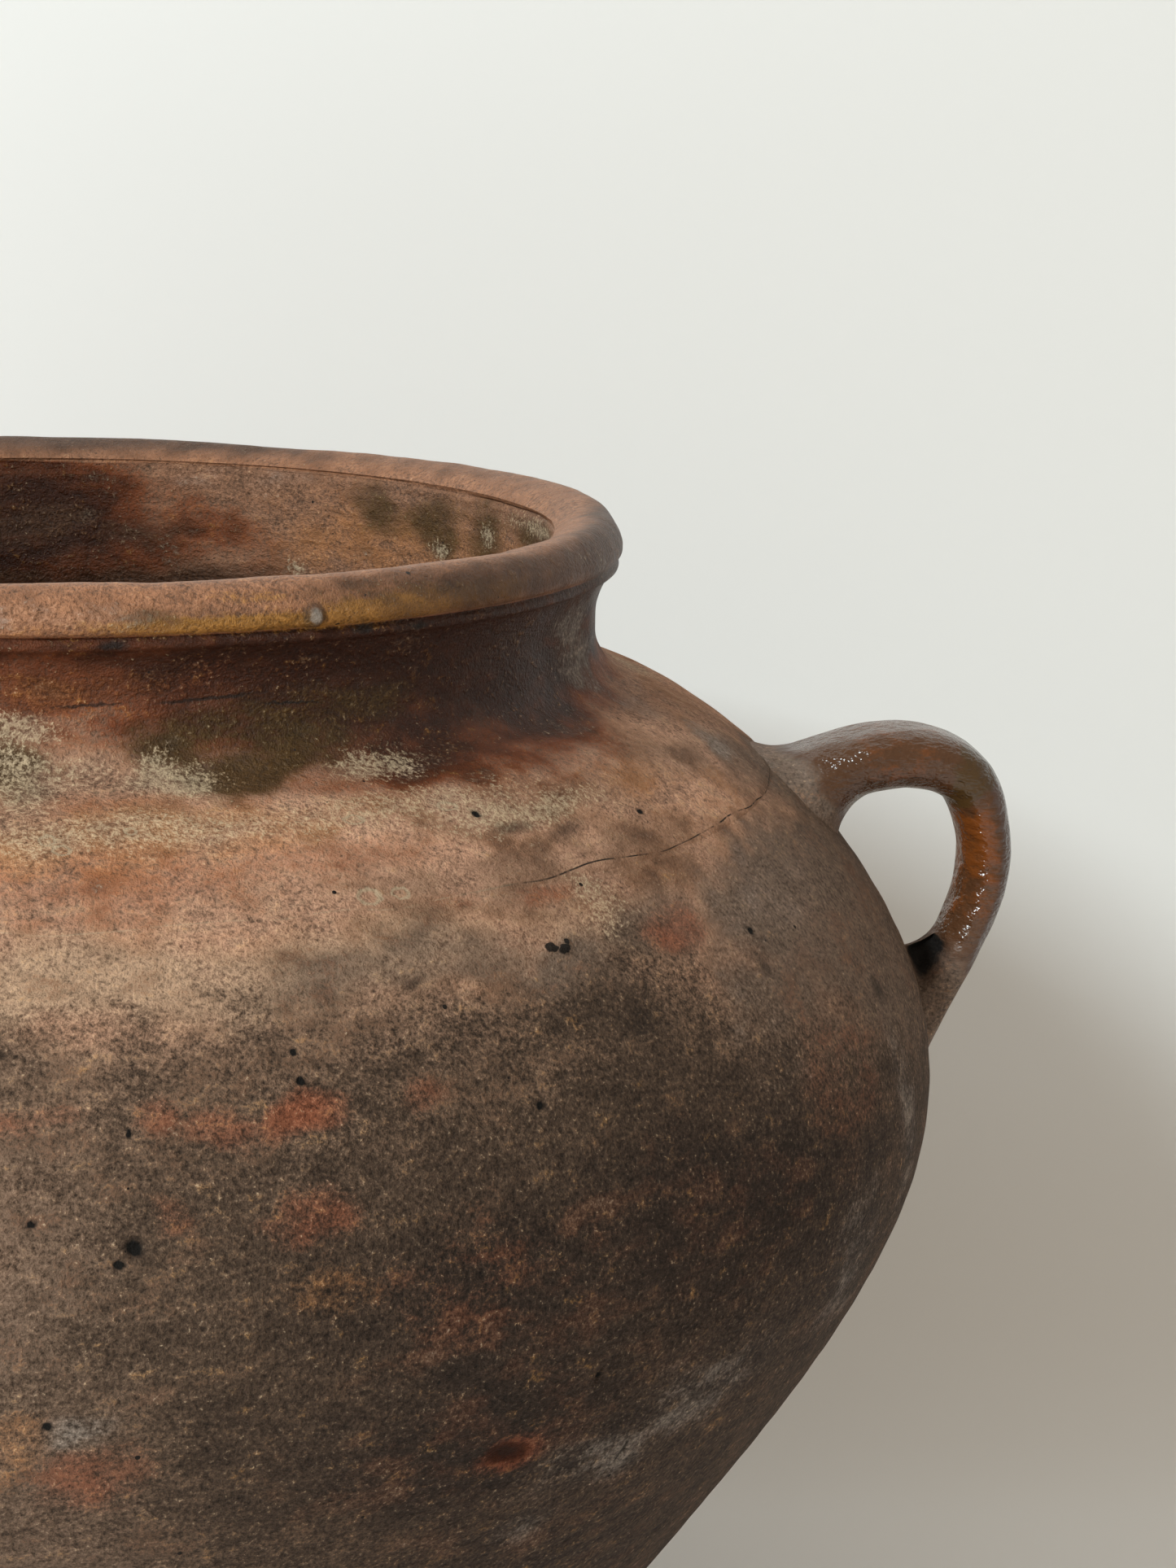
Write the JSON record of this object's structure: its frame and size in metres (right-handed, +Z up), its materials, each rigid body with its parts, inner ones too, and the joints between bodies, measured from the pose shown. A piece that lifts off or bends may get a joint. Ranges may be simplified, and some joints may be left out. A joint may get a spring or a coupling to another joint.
{
  "type": "twin-handled urn",
  "caption": "Wide-bellied earthenware jar with a rolled rim, short neck and two pulled strap handles from shoulder to belly.",
  "frame": {"origin": "centre of the flat underside, on the wheel's axis", "axes": "+Z up along the wheel's axis, +X out through one handle, so that the handles lie on X and the urn's front faces -Y"},
  "size_m": [0.4266, 0.39, 0.306],
  "materials": {
    "sooty_terracotta": "unglazed sandy earthenware, greyed by kiln smoke, matt",
    "sandy_terracotta": "unglazed sandy earthenware, pink-brown with pale lime speckle, matt",
    "iron_red_terracotta": "iron-red slip, satin matt",
    "thin_ochre_glaze": "thin worn ochre glaze over terracotta, satin",
    "amber_lead_glaze": "orange-brown run glaze, glossy"
  },
  "bodies": {
    "root": {"base_pad": "sooty_terracotta", "lower_wall": "sooty_terracotta", "belly_wall": "sooty_terracotta", "shoulder_wall": "sandy_terracotta", "neck_collar": "iron_red_terracotta", "rim_coil": "thin_ochre_glaze", "handle_strap_right": "amber_lead_glaze", "handle_upper_root_right": "sandy_terracotta", "handle_lower_root_right": "sandy_terracotta", "handle_strap_left": "amber_lead_glaze", "handle_upper_root_left": "sandy_terracotta", "handle_lower_root_left": "sandy_terracotta"}
  },
  "joints": []
}
